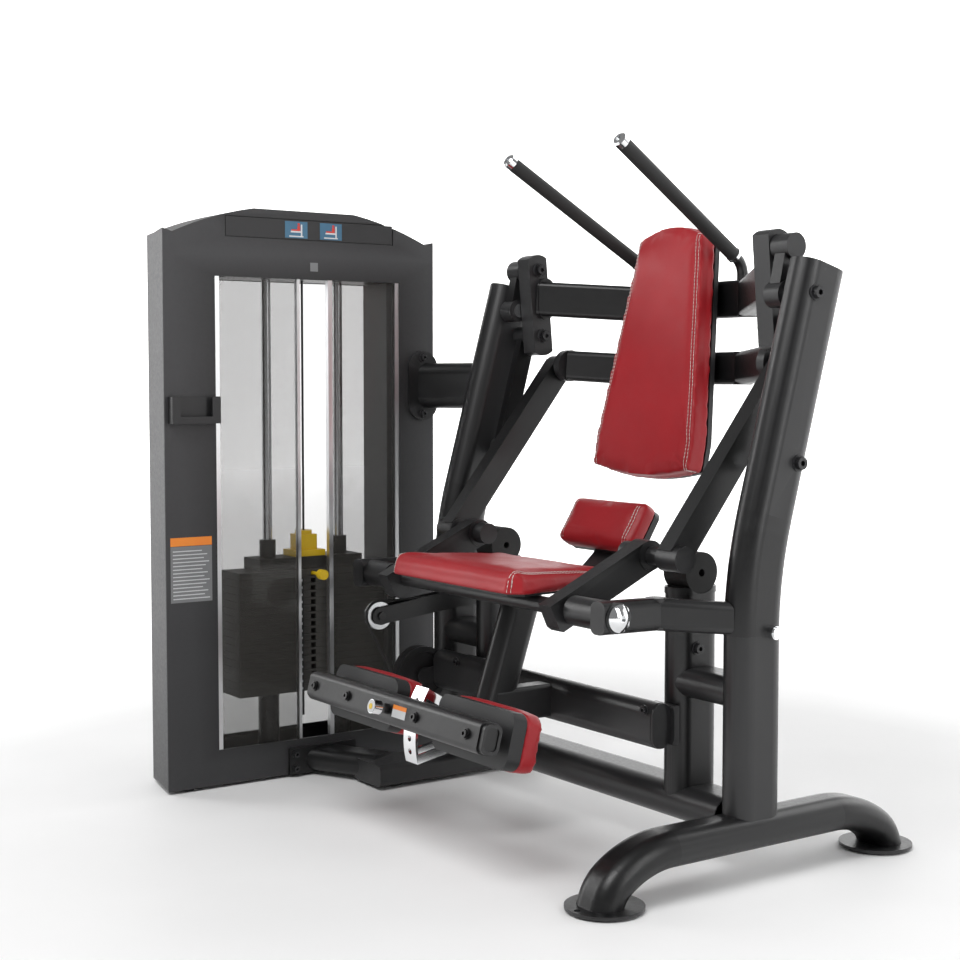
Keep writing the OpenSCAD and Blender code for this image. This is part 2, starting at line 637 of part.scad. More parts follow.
// ---- tower ----
module plan(d) {
  // plan of the tower body, narrower at its back
  a = tower_y[0]; b = tower_y[1];
  polygon([[tower_x - d, a + d], [tower_x - tower_d + d, a + back_in + d],
    [tower_x - tower_d + d, b - back_in - d], [tower_x - d, b - d]]);
}
module tower_front() place() color("#37383b") difference() {
  translate([tower_x - 4, tower_y[0] + 1, 12]) cube([4, tower_y[1] - tower_y[0] - 2, tower_h - 12]);
  translate([tower_x - 10, window_y[0], window_z[0]])
    cube([20, window_y[1] - window_y[0], window_z[1] - window_z[0]]);
}
module tower_back() place() color("#37383b") difference() {
  translate([tower_x - tower_d, tower_y[0] + back_in + 1, 12])
    cube([4, tower_y[1] - tower_y[0] - 2 * back_in - 2, tower_h - 12]);
  translate([tower_x - tower_d - 5, window_y[0], window_z[0]])
    cube([20, window_y[1] - window_y[0], window_z[1] - window_z[0]]);
}
module tower_sides() place() color("#37383b") for (m = [0, 1])
  translate([0, m * (tower_y[0] + tower_y[1]), 12]) mirror([0, m, 0]) linear_extrude(tower_h - 12)
    polygon([[tower_x - 4, tower_y[1]], [tower_x, tower_y[1]], [tower_x, tower_y[1] - 1],
      [tower_x - 4, tower_y[1] - 1], [tower_x - 4, tower_y[1] - 5],
      [tower_x - tower_d + 4, tower_y[1] - back_in - 5], [tower_x - tower_d + 4, tower_y[1] - back_in - 1],
      [tower_x - tower_d, tower_y[1] - back_in - 1], [tower_x - tower_d, tower_y[1] - back_in]]);
module tower_floor() place() color("#2c2d2f") translate([0, 0, 8]) linear_extrude(4) plan(0);
module cap_profile() {
  // seen from the window side: sloping shoulders and a crowned top
  a = tower_y[0]; b = tower_y[1]; m = (a + b) / 2; h = 92;
  r = (h * h + pow((b - a) / 2, 2)) / (2 * h);
  t = asin((b - a) / 2 / r);
  intersection() {
    polygon(concat([[a, tower_h], [b, tower_h]], [[b, 1386]],
      arc([m, 1386 + h - 20 - r], r, 90 - t * 0.93, 90 + t * 0.93, 24), [[a, 1386]]));
    translate([a, 0]) square([b - a, crown_z]);
  }
}
module tower_cap() place() color("#323336") difference() {
  intersection() {
    ext_x(tower_x - tower_d, tower_x) cap_profile();
    translate([0, 0, tower_h]) linear_extrude(200) plan(0);
  }
  translate([0, 0, tower_h - 1]) linear_extrude(45) plan(6);
  translate([tower_x - tower_d + 6, -430, tower_h]) cube([tower_d - 12, 520, 58]);
  translate([tower_x - 4, -456, 1373]) cube([10, 484, 52]);
}
module tower_windows() place() color([0.6, 0.6, 0.6, 0.35]) {
  for (w = [[window_y[0] + 12, slot_y[0] - 8], [slot_y[1] + 12, window_y[1] - 12]])
    translate([tower_x - 9, w[0], window_z[0]]) cube([4, w[1] - w[0], window_z[1] - window_z[0]]);
  translate([tower_x - tower_d + 4.5, window_y[0] - 8, window_z[0] - 8])
    cube([4, window_y[1] - window_y[0] + 16, window_z[1] - window_z[0] + 16]);
}
module tower_trims() place() color("#c6c9cc") {
  for (y = [window_y[0], slot_y[0] - 8, slot_y[1], window_y[1] - 12])
    translate([tower_x - 16, y, window_z[0]]) cube([14, 12 - (y == slot_y[0] - 8 ? 4 : 0), window_z[1] - window_z[0]]);
}
module number_strip() place() color("#0d0d0e") translate([stack_x + 52.4, -247, 150]) cube([1.6, 20, 360]);
module phone_holder() place() color("#202123") difference() {
  translate([tower_x, -612, 913]) cube([26, 128, 66]);
  translate([tower_x + 4, -606, 919]) cube([17, 116, 70]);
  translate([tower_x + 15, -590, 930]) cube([20, 84, 60]);
}
module header_panel() place() color("#17181a") translate([tower_x - 3.5, -454, 1375]) cube([2.5, 480, 48]);
module stack_base() place() color("#1d1e20") {
  translate([stack_x - 60, -440, 12]) cube([120, 500, 16]);
  for (s = [-1, 1]) translate([stack_x, stack_y + s * rod_dy, 28]) cylinder(h = stack_z - 28.8, r = 27);
}
module guide_rods() place() color("#cfd2d4") for (s = [-1, 1])
  translate([stack_x, stack_y + s * rod_dy, stack_z - 0.8]) cylinder(h = 1276 - stack_z + 0.8, r = 12.5);
module stack_top() place() color("#1d1e20") difference() {
  intersection() {
    translate([stack_x - 60, -440, 1276]) cube([120, 556, 10]);
    linear_extrude(1400) plan(6);
  }
  for (y = [stack_y, wheel2_y + 41.5]) translate([stack_x, y, 1260]) cylinder(h = 40, r = 8);
}
module stack_pulleys() place() color("#cfd2d4") for (y = [stack_y + 41.5, wheel2_y])
  translate([stack_x - 12, y, wheel_z]) rotate([0, 90, 0]) rotate_extrude()
    polygon([[6.05, 0], [42, 0], [42, 4], [37, 12], [42, 20], [42, 24], [6.05, 24]]);
module pulley_bracket() place() color("#26272a") {
  for (s = [-1, 1]) ext_x(stack_x + s * 17 - 2.5, stack_x + s * 17 + 2.5)
    polygon([[stack_y - 10, 1286], [wheel2_y + 30, 1286], [wheel2_y + 30, wheel_z + 8],
      [wheel2_y, wheel_z + 18], [stack_y + 41.5, wheel_z + 18], [stack_y - 10, wheel_z]]);
  for (y = [stack_y + 41.5, wheel2_y]) cyl_x(stack_x - 22, stack_x + 22, [y, wheel_z], 6);
}
module one_plate(z, x = 0) translate([stack_x, stack_y, z]) difference() {
  translate([-52, -212, 0]) cube([104, 424, plate_p - 0.8]);
  for (s = [-1, 1]) translate([0, s * rod_dy, -1]) cylinder(h = 30, r = 15);
  translate([0, 0, -1]) cylinder(h = 30, r = 14);
  translate([0, -7, -1]) cube([60, 14, 13.4]);
}
module weight_plates() place() color("#2a2927") for (i = [0 : plate_n - 2]) one_plate(stack_z + i * plate_p);
module lifted_stack() place() color("#2a2927") {
  one_plate(head_z - plate_p);
  translate([stack_x, stack_y, head_z]) difference() {
    translate([-46, -150, 0]) cube([92, 300, 30]);
    for (s = [-1, 1]) translate([0, s * rod_dy, -1]) cylinder(h = 40, r = 14);
    translate([0, 0, -1]) cylinder(h = 50, r = 5);
  }
  for (s = [-1, 1]) translate([stack_x, stack_y + s * rod_dy, head_z + 30]) difference() {
    cylinder(h = 46, r = 21);
    translate([0, 0, -1]) cylinder(h = 60, r = 14);
  }
  translate([stack_x, stack_y, stack_z + 8]) difference() {
    cylinder(h = head_z - stack_z - 8, r = 11);
    translate([0, 0, -1]) cylinder(h = 400, r = 5);
    for (i = [0 : plate_n - 1]) translate([0, 0, -1.5 + i * plate_p]) rotate([0, 90, 0])
      cylinder(h = 40, r = 5);
  }
}
module selector_pin() place() color("#e8c21a") translate([0, stack_y, head_z - plate_p + 6.5]) {
  cyl_x(stack_x + 5, tower_x + 6, [0, 0], 4.7);
  cyl_x(tower_x + 6, tower_x + 26, [0, 0], 13);
}
module addon_selector() place() color("#e8c21a") translate([stack_x, stack_y, head_z + 30]) difference() {
  union() {
    translate([-30, -44, 0.3]) cube([68, 88, 16]);
    translate([-24, -26, 16]) cube([50, 52, 40]);
    translate([0, 0, 56]) cylinder(h = 10, r = 22);
  }
  translate([0, 0, -1]) cylinder(h = 80, r = 6);
}
module pivot_arms() { left_pivot_arm(); right_pivot_arm(); }
module stack_mounts() { tower_floor(); stack_base(); stack_top(); pulley_bracket(); }
module tower_frames() { tower_front(); tower_back(); }
module cables() { drive_cable(); lift_cable(); }
module tower_ties() { tower_link_tube(); tower_tie_tube(); }
module rail_mounts() { rail_ends(); rail_brackets(); }
module swing_shafts() { swing_shaft(); swing_joint_shafts(); }
module pivot_pins() { fixed_pivot_pins(); shin_pivot(); }
module seat_boards() { seat_pan(); lumbar_shell(); }
module tower_plaques() { number_strip(); header_panel(); }

base_cross_tube();
left_foot();
tower_ties();
right_foot();
foot_rubbers();
left_upright();
right_upright();
pivot_arms();
rear_posts();
side_stubs();
lower_rail();
rail_mounts();
frame_bolts();
pivot_caps();
arm_stops();
pivot_pins();
upper_links();
lower_links();
carriage_plates();
upper_cross_bar();
lower_cross_bar();
carriage_pins();
carriage_bolts();
handle_tubes();
handle_grips();
handle_ends();
back_pad();
back_pad_shell();
pad_mount();
swing_shafts();
swing_arms();
diagonal_links();
seat_post();
seat_boards();
seat_cushion();
lumbar_pad();
lumbar_bracket();
shin_sector();
shin_beam();
shin_shells();
shin_pads();
shin_pull_pin();
cable_bracket();
cable_wheel();
cable_drum();
cables();
tower_frames();
tower_sides();
stack_mounts();
tower_cap();
tower_windows();
tower_trims();
phone_holder();
guide_rods();
tower_plaques();
stack_pulleys();
weight_plates();
lifted_stack();
selector_pin();
addon_selector();
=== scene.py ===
"""Looks for the ab crunch machine: materials, stuffed cushions, stitching, prints and the studio."""
import json
import math

import bpy
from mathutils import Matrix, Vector
from mathutils.bvhtree import BVHTree
from mathutils.kdtree import KDTree


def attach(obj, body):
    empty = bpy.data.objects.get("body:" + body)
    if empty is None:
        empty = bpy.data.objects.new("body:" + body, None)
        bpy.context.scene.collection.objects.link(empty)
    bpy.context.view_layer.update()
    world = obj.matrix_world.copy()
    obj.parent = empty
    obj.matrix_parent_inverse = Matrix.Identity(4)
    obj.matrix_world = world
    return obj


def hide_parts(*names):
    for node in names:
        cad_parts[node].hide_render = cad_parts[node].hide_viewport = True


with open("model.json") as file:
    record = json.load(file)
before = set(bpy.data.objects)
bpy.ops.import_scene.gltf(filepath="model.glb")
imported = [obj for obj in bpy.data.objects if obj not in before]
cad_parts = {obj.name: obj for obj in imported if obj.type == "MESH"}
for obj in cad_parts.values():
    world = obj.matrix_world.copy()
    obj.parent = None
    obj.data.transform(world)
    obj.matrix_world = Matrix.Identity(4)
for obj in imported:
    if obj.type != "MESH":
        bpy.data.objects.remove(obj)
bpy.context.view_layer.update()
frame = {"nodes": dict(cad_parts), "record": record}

# ---------------------------------------------------------------- sizes shared by the pieces below
MM = 0.001
AXES = Vector((0.14025, 0.03325, 0.0))  # from the seat's middle plane and the upright line to the origin
Y, Z = Vector((0, 1, 0)), Vector((0, 0, 1))
STEP = 0.0022                           # spacing of the points dropped on a skin
TOWER_FACE = -737.0                     # front face of the tower, millimetres
PRINT = 0.3                             # thickness of a printed face, millimetres


def at(x, y, z):
    """A point in millimetres on the machine's own axes, as a frame point in metres."""
    return Vector((x, y, z)) * MM + AXES


def leaning(origin, degrees):
    """A function that places points on axes leaning back from origin: x across, y inwards, z up the face."""
    c, s = math.cos(math.radians(degrees)), math.sin(math.radians(degrees))
    return lambda x, y, z: origin + Vector((x, y * c + z * s, z * c - y * s)) * MM


def inward(place):
    return (place(0, 1, 0) - place(0, 0, 0)).normalized()


# ---------------------------------------------------------------- node helpers
def new_mat(name):
    m = bpy.data.materials.new(name)
    m.use_nodes = True
    return m, m.node_tree, m.node_tree.nodes["Principled BSDF"]


def add(nt, kind, **vals):
    """A node whose inputs, or else whose settings, take the given values."""
    n = nt.nodes.new(kind)
    for k, v in vals.items():
        if k in n.inputs:
            n.inputs[k].default_value = v
        else:
            setattr(n, k, v)
    return n


def coords(nt, scale=(1, 1, 1)):
    tc = add(nt, "ShaderNodeTexCoord")
    mp = add(nt, "ShaderNodeMapping", Scale=scale)
    nt.links.new(tc.outputs["Object"], mp.inputs["Vector"])
    return mp.outputs["Vector"]


def noise(nt, vector, scale, detail=3.0, rough=0.6):
    n = add(nt, "ShaderNodeTexNoise", Scale=scale, Detail=detail, Roughness=rough)
    nt.links.new(vector, n.inputs["Vector"])
    return n.outputs["Fac"]


def ramp(nt, src, low, high):
    """A colour ramp between two (position, colour) stops; a number stands for a grey."""
    r = add(nt, "ShaderNodeValToRGB")
    for e, (p, c) in zip(r.color_ramp.elements, (low, high)):
        e.position = p
        e.color = (c, c, c, 1) if isinstance(c, (int, float)) else (*c, 1)
    nt.links.new(src, r.inputs["Fac"])
    return r.outputs["Color"]


def bumps(nt, bsdf, layers):
    """Stacked bump nodes from (height, strength, distance) layers."""
    prev = None
    for height, strength, distance in layers:
        b = add(nt, "ShaderNodeBump", Strength=strength, Distance=distance)
        nt.links.new(height, b.inputs["Height"])
        if prev:
            nt.links.new(prev, b.inputs["Normal"])
        prev = b.outputs["Normal"]
    nt.links.new(prev, bsdf.inputs["Normal"])


# ---------------------------------------------------------------- materials
def painted(name, base, light, rough, grain=900.0, peel=0.12, spread=0.06, coat=0.0):
    """Powder-coated metal: fine orange peel, slight tone drift and paler convex edges, a painted highlight.
    """
    m, nt, b = new_mat(name)
    v = coords(nt)
    drift, fine, mid = noise(nt, v, 7.0, 4.0), noise(nt, v, grain, 2.0), noise(nt, v, 120.0)
    highlight_edges = add(nt, "ShaderNodeNewGeometry").outputs["Pointiness"]
    # convex edges are mixed towards a paler colour: a painted highlight along the edges
    mix = add(nt, "ShaderNodeMix", data_type="RGBA")
    nt.links.new(ramp(nt, highlight_edges, (0.52, 0), (0.60, 1)), mix.inputs["Factor"])
    nt.links.new(ramp(nt, drift, (0.3, base), (0.7, light)), mix.inputs["A"])
    mix.inputs["B"].default_value = (*[min(1, c * 2.2 + 0.012) for c in light], 1)
    nt.links.new(mix.outputs["Result"], b.inputs["Base Color"])
    nt.links.new(ramp(nt, mid, (0.25, rough - spread), (0.75, rough + spread)), b.inputs["Roughness"])
    b.inputs["Specular IOR Level"].default_value = 0.5
    b.inputs["Coat Weight"].default_value = coat
    b.inputs["Coat Roughness"].default_value = 0.25
    bumps(nt, b, [(fine, peel, 0.0004), (mid, 0.05, 0.0006)])
    return m


def metal(name, col, rough, brushed=None, spread=0.05):
    """Bare or plated metal, with fine lines along its length where it is brushed."""
    m, nt, b = new_mat(name)
    b.inputs["Metallic"].default_value = 1.0
    n = noise(nt, coords(nt, brushed or (1, 1, 1)), 60.0 if brushed else 14.0, 5.0)
    nt.links.new(ramp(nt, n, (0.3, [c * 0.86 for c in col]), (0.7, col)), b.inputs["Base Color"])
    nt.links.new(ramp(nt, n, (0.3, rough), (0.75, rough + spread)), b.inputs["Roughness"])
    bumps(nt, b, [(n, 0.08 if brushed else 0.02, 0.0003)])
    return m


def vinyl(name, base, light):
    """Upholstery vinyl: pebbled grain, soft creases and a low sheen."""
    m, nt, b = new_mat(name)
    v = coords(nt)
    cells = add(nt, "ShaderNodeTexVoronoi", Scale=620.0, Randomness=0.9, feature="DISTANCE_TO_EDGE")
    nt.links.new(v, cells.inputs["Vector"])
    creases, drift, fine = noise(nt, v, 16.0, 6.0), noise(nt, v, 5.0), noise(nt, v, 260.0)
    nt.links.new(ramp(nt, drift, (0.3, base), (0.75, light)), b.inputs["Base Color"])
    nt.links.new(ramp(nt, creases, (0.3, 0.40), (0.75, 0.54)), b.inputs["Roughness"])
    b.inputs["Specular IOR Level"].default_value = 0.4
    b.inputs["Sheen Weight"].default_value = 0.04
    b.inputs["Sheen Roughness"].default_value = 0.4
    b.inputs["Coat Weight"].default_value = 0.08
    b.inputs["Coat Roughness"].default_value = 0.35
    pebbles = ramp(nt, cells.outputs["Distance"], (0.0, 0), (0.12, 1))
    bumps(nt, b, [(pebbles, 0.16, 0.0003), (fine, 0.1, 0.0004), (creases, 0.10, 0.002)])
    return m


def plastic(name, base, light, rough, grain=500.0, bump=0.08):
    """Moulded plastic, rubber, thread or print: a fine grain and a slow drift of tone."""
    m, nt, b = new_mat(name)
    v = coords(nt)
    fine, drift = noise(nt, v, grain), noise(nt, v, 9.0, 4.0)
    nt.links.new(ramp(nt, drift, (0.3, base), (0.7, light)), b.inputs["Base Color"])
    nt.links.new(ramp(nt, drift, (0.3, rough), (0.7, min(1, rough + 0.1))), b.inputs["Roughness"])
    bumps(nt, b, [(fine, bump, 0.0004)])
    return m


def glazing(name, alpha):
    """Smoked sheet seen through, darker than what lies behind it."""
    m, nt, b = new_mat(name)
    n = noise(nt, coords(nt), 3.0, 4.0)
    tones = (0.3, (0.05, 0.048, 0.044)), (0.7, (0.07, 0.067, 0.062))
    nt.links.new(ramp(nt, n, *tones), b.inputs["Base Color"])
    nt.links.new(ramp(nt, n, (0.3, 0.03), (0.8, 0.07)), b.inputs["Roughness"])
    b.inputs["Alpha"].default_value = alpha
    b.inputs["Specular IOR Level"].default_value = 0.3
    return m


MATS = {
    "frame_black": painted("frame_black", (0.003, 0.003, 0.0034), (0.005, 0.005, 0.0055), 0.36, coat=0.03),
    "tower_grey": painted("tower_grey", (0.007, 0.007, 0.0075), (0.010, 0.010, 0.011), 0.5,
                          700.0, 0.22, 0.07),
    "black_plastic": plastic("black_plastic", (0.010, 0.010, 0.011), (0.016, 0.016, 0.017), 0.42),
    "rubber_black": plastic("rubber_black", (0.008, 0.008, 0.008), (0.015, 0.015, 0.015), 0.62, 900.0, 0.2),
    "bolt_black": painted("bolt_black", (0.006, 0.006, 0.007), (0.012, 0.012, 0.013), 0.3),
    "chrome": metal("chrome", (0.86, 0.87, 0.88), 0.07),
    "steel": metal("steel", (0.62, 0.63, 0.64), 0.22, (30, 30, 1)),
    "red_vinyl": vinyl("red_vinyl", (0.30, 0.004, 0.009), (0.37, 0.006, 0.012)),
    "smoked_glass": glazing("smoked_glass", 0.28),
    "aluminium_trim": metal("aluminium_trim", (0.82, 0.83, 0.84), 0.28, (40, 40, 1)),
    "stack_iron": painted("stack_iron", (0.010, 0.009, 0.008), (0.016, 0.015, 0.013), 0.55,
                          420.0, 0.15, 0.08),
    "yellow": plastic("yellow", (0.62, 0.40, 0.01), (0.70, 0.48, 0.02), 0.35),
}
THREAD = plastic("thread_white", (0.62, 0.60, 0.58), (0.75, 0.73, 0.70), 0.7, 2400.0, 0.3)
PRINT_BLUE = plastic("print_blue", (0.03, 0.11, 0.19), (0.05, 0.15, 0.24), 0.4)
PRINT_PALE = plastic("print_pale", (0.52, 0.53, 0.54), (0.60, 0.61, 0.62), 0.5)
PRINT_RED = plastic("print_red", (0.50, 0.03, 0.02), (0.58, 0.05, 0.03), 0.5)
PRINT_ORANGE = plastic("print_orange", (0.75, 0.20, 0.02), (0.80, 0.26, 0.03), 0.5)
PRINT_GREY = plastic("print_grey", (0.16, 0.165, 0.17), (0.20, 0.205, 0.21), 0.5)

for part in frame["record"]["subparts"]:
    slots = frame["nodes"][part["node"]].data.materials
    slots.clear()
    slots.append(MATS[part["material_slot"]])

# widths of the eased edges, in metres
EASED = {
    0.0008: "shin_sector",
    0.001: "cable_bracket cable_drum pivot_caps",
    0.0012: "tower_sides weight_plates lifted_stack",
    0.0015: "tower_frames rail_mounts seat_boards swing_shafts right_foot tower_ties selector_pin",
    0.002: "left_foot phone_holder seat_post pad_mount shin_beam rear_posts shin_pull_pin lumbar_bracket",
    0.003: "upper_links lower_links addon_selector upper_cross_bar lower_cross_bar pivot_arms",
    0.004: "carriage_plates left_upright right_upright",
    0.005: "swing_arms diagonal_links back_pad_shell",
    0.010: "tower_cap",
    0.012: "shin_shells",
}
for width, nodes in EASED.items():
    for node in nodes.split():
        edge = frame["nodes"][node].modifiers.new("edge", "BEVEL")
        edge.width = width
        edge.segments = 3
        edge.limit_method = "ANGLE"
        edge.angle_limit = math.radians(40)


# ---------------------------------------------------------------- mesh helpers
def mesh_obj(name, verts, faces, mat, smooth=False):
    me = bpy.data.meshes.new(name)
    me.from_pydata([tuple(v) for v in verts], [], faces)
    me.polygons.foreach_set("use_smooth", [smooth] * len(me.polygons))
    me.update()
    me.materials.append(mat)
    o = bpy.data.objects.new(name, me)
    bpy.context.scene.collection.objects.link(o)
    return o


def attached(o, body):
    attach(o, body)
    return o


def thread(path, r, seg=6):
    """verts and faces of one round stitch along a short path."""
    verts, faces = [], []
    for i, p in enumerate(path):
        t = (path[min(i + 1, len(path) - 1)] - path[max(i - 1, 0)]).normalized()
        s = t.cross(Z if abs(t.z) < 0.99 else Y).normalized()
        u = s.cross(t)
        for k in range(seg):
            w = 2 * math.pi * k / seg
            verts.append(p + (s * math.cos(w) + u * math.sin(w)) * r)
    for i in range(len(path) - 1):
        for k in range(seg):
            n = (k + 1) % seg
            faces.append((i * seg + k, i * seg + n, (i + 1) * seg + n, (i + 1) * seg + k))
    last = (len(path) - 1) * seg
    return verts, faces + [tuple(range(seg))[::-1], tuple(last + k for k in range(seg))]


def resample(path, step):
    """Points at an even step along a path."""
    out, left = [path[0]], step
    for a, b in zip(path, path[1:]):
        while (b - a).length >= left:
            a = a.lerp(b, left / (b - a).length)
            out.append(a.copy())
            left = step
        left -= (b - a).length
    return out


def sewn(name, skin, lines, direction, body, radius=0.0007, stitch=3, pitch=4, lift=0.0002):
    """Thread laid on a skin, each line dropped on along direction; stitch and pitch count its points."""
    tree = BVHTree.FromObject(skin, bpy.context.evaluated_depsgraph_get())
    verts, faces = [], []
    for line in lines:
        drops = [tree.ray_cast(p - direction * 0.12, direction, 0.3) for p in resample(line, STEP)]
        points = [(d[0], d[1]) for d in drops if d[0] is not None]
        for a in range(0, len(points) - stitch, pitch):
            b, mid = a + stitch, a + stitch // 2
            path = []
            for k, high in ((a, -0.6), (a, 0.35), (mid, 1.0), (b, 0.35), (b, -0.6)):
                path.append(points[k][0] + points[k][1] * (radius * high + lift))
            v, f = thread(path, radius)
            faces += [tuple(len(verts) + i for i in face) for face in f]
            verts += v
    return attached(mesh_obj(name, verts, faces, THREAD, True), body)


def seam_groove(skin, lines, direction, width=0.004, depth=0.0012):
    """Sinks a skin's points along seam lines, seen along direction."""
    a1 = direction.orthogonal().normalized()
    a2 = direction.cross(a1)
    points = [p for line in lines for p in resample(line, STEP)]
    tree = KDTree(len(points))
    for i, p in enumerate(points):
        tree.insert((p.dot(a1), p.dot(a2), 0), i)
    tree.balance()
    for v in skin.data.vertices:
        if v.normal.dot(direction) < -0.25:
            near = tree.find((v.co.dot(a1), v.co.dot(a2), 0))[2]
            if near < width * 2.5:
                v.co += direction * depth * math.exp(-(near / width) ** 2)


def apply_modifier(o, kind, **settings):
    m = o.modifiers.new("step", kind)
    for k, v in settings.items():
        setattr(m, k, v)
    bpy.ops.object.modifier_apply(modifier=m.name)


def stuff(o, out, pressure, cap, frames=20, board=0.006):
    """Inflates a skin as cloth over its board, and holds every point within cap of where it began."""
    rest = [v.co.copy() for v in o.data.vertices]
    back = min(p.dot(out) for p in rest)
    pinned = o.vertex_groups.new(name="board")
    pinned.add([i for i, p in enumerate(rest) if p.dot(out) < back + board], 1.0, "ADD")
    cloth = o.modifiers.new("cloth", "CLOTH")
    st = cloth.settings
    st.quality, st.mass = 4, 0.35
    st.tension_stiffness = st.compression_stiffness = 24
    st.shear_stiffness, st.bending_stiffness = 8, 1.5
    st.use_pressure, st.uniform_pressure_force = True, pressure
    st.effector_weights.gravity = 0.0
    st.vertex_group_mass = "board"
    cloth.point_cache.frame_start, cloth.point_cache.frame_end = 1, frames
    for f in range(1, frames + 1):
        bpy.context.scene.frame_set(f)
    bpy.ops.object.modifier_apply(modifier="cloth")
    bpy.context.scene.frame_set(1)
    for v, p in zip(o.data.vertices, rest):
        move = v.co - p
        if move.length > cap:
            v.co = p + move * (cap / move.length)


def cushion(node, name, body, voxel, pressure, cap, out):
    """A stuffed skin grown from a CAD pad: voxel skin, corners eased, inflated and smoothed."""
    o = bpy.data.objects.new(name, frame["nodes"][node].data.copy())
    bpy.context.scene.collection.objects.link(o)
    bpy.ops.object.select_all(action="DESELECT")
    bpy.context.view_layer.objects.active = o
    o.select_set(True)
    apply_modifier(o, "WELD", merge_threshold=0.00005)
    apply_modifier(o, "REMESH", mode="VOXEL", voxel_size=voxel)
    apply_modifier(o, "SMOOTH", factor=0.5, iterations=3)
    stuff(o, out, pressure, cap)
    apply_modifier(o, "SMOOTH", factor=0.5, iterations=2)
    o.data.materials.clear()
    o.data.materials.append(MATS["red_vinyl"])
    o.data.polygons.foreach_set("use_smooth", [True] * len(o.data.polygons))
    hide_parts(node)
    return attached(o, body)


def twin_seam(name, skin, outer, inner, direction, body):
    """Two rows of stitches with a groove between them; outer and inner hold matching lines."""
    between = [[(a + b) / 2 for a, b in zip(p, q)] for p, q in zip(outer, inner)]
    seam_groove(skin, between, direction)
    refined = skin.modifiers.new("refined", "SUBSURF")
    refined.levels = refined.render_levels = 1
    sewn(name, skin, outer + inner, direction, body)


SIDES = (-1, 1)
SEAM_GAP = 7.0    # millimetres between the two rows of a seam
VOXEL = 0.0062    # metres, the skins' grain before smoothing
FINE_VOXEL = 0.0055
PUFF, SHIN_PUFF = 4.0, 3.5

# ---------------------------------------------------------------- back pad
PAD_LOW, PAD_HIGH = 181.0, 119.0  # half widths near the bottom and at the top, millimetres
PAD_BEND, PAD_SHOULDER = 60.0, 540.0
on_back = leaning(at(0, 251, 824), 9.8)


def back_seam(side, inset):
    line = []
    for z in range(-10, 552, 10):
        up = (z - PAD_BEND) / (PAD_SHOULDER - PAD_BEND)
        half = PAD_LOW + (PAD_HIGH - PAD_LOW) * up if up > 0 else PAD_LOW
        line.append(on_back(side * (half - inset), 0, z))
    return line


back = cushion("back_pad", "back_cushion", "carriage", VOXEL, PUFF, 0.005, -inward(on_back))
twin_seam("back_stitching", back, [back_seam(s, 15) for s in SIDES],
          [back_seam(s, 15 + SEAM_GAP) for s in SIDES], inward(on_back), "carriage")

# ---------------------------------------------------------------- seat
SEAT_FRONT, SEAT_BACK = 248.0, 224.0  # half widths at the front and the back, millimetres
SEAT_Y, SEAT_DEEP, SEAT_TOP, SEAT_LOW = -290.0, 298.0, 624, 580


def seat_seam(side, inset):
    points = [i / 30 for i in range(1, 29)]
    return [at(side * (SEAT_FRONT - inset + (SEAT_BACK - SEAT_FRONT) * t), SEAT_Y + SEAT_DEEP * t, SEAT_TOP)
            for t in points]


def seat_front_seam(side, inset):
    return [at(side * (SEAT_FRONT - inset), SEAT_Y, z) for z in range(SEAT_LOW, SEAT_TOP - 14, 3)]


seat = cushion("seat_cushion", "seat_skin", "frame", VOXEL, PUFF, 0.005, Z)
twin_seam("seat_stitching", seat, [seat_seam(s, 20) for s in SIDES],
          [seat_seam(s, 20 + SEAM_GAP) for s in SIDES], -Z, "frame")
front_rows = [seat_front_seam(s, i) for s in SIDES for i in (20, 20 + SEAM_GAP)]
sewn("seat_front_stitching", seat, front_rows, Y, "frame")

# ---------------------------------------------------------------- lumbar pad
LUMBAR_HALF = 133.0
on_lumbar = leaning(at(0, 106, 652), 32)


def lumbar_seam(side, inset):
    return [on_lumbar(side * (LUMBAR_HALF - inset), 0, z) for z in range(2, 106, 4)]


lumbar = cushion("lumbar_pad", "lumbar_cushion", "frame", FINE_VOXEL, PUFF, 0.004, -inward(on_lumbar))
twin_seam("lumbar_stitching", lumbar, [lumbar_seam(s, 17) for s in SIDES],
          [lumbar_seam(s, 17 + SEAM_GAP) for s in SIDES], inward(on_lumbar), "frame")

# ---------------------------------------------------------------- shin pads
on_shin = leaning(at(0, -417, 313), 14)
shin = cushion("shin_pads", "shin_cushions", "shin_unit", FINE_VOXEL, SHIN_PUFF, 0.004, inward(on_shin))

# ---------------------------------------------------------------- printed faces and small trims
BOX_FACES = ((0, 1, 3, 2), (4, 6, 7, 5), (0, 4, 5, 1), (2, 3, 7, 6), (0, 2, 6, 4), (1, 5, 7, 3))


def boxes(name, corners, mat, body="frame", place=at):
    """Boxes between (low, high) corners in millimetres, placed on the given axes."""
    verts, faces = [], []
    for a, b in corners:
        faces += [tuple(len(verts) + i for i in f) for f in BOX_FACES]
        verts += [place(x, y, z) for x in (a[0], b[0]) for y in (a[1], b[1]) for z in (a[2], b[2])]
    return attached(mesh_obj(name, verts, faces, mat), body)


def printed(name, face, patches, mat):
    """Flat patches (low y, low z, high y, high z) printed on a plane that looks along +X."""
    return boxes(name, [((face, p[0], p[1]), (face + PRINT, p[2], p[3])) for p in patches], mat)


def disc(name, centre, axis, r, t, mat, body, seg=40):
    u = axis.orthogonal().normalized()
    w = axis.cross(u)
    rim = [u * math.cos(2 * math.pi * i / seg) + w * math.sin(2 * math.pi * i / seg) for i in range(seg)]
    verts = [centre + p * r + axis * k for k in (0, t) for p in rim]
    faces = [tuple(range(seg))[::-1], tuple(range(seg, 2 * seg))]
    faces += [(i, (i + 1) % seg, seg + (i + 1) % seg, seg + i) for i in range(seg)]
    return attached(mesh_obj(name, verts, faces, mat), body)


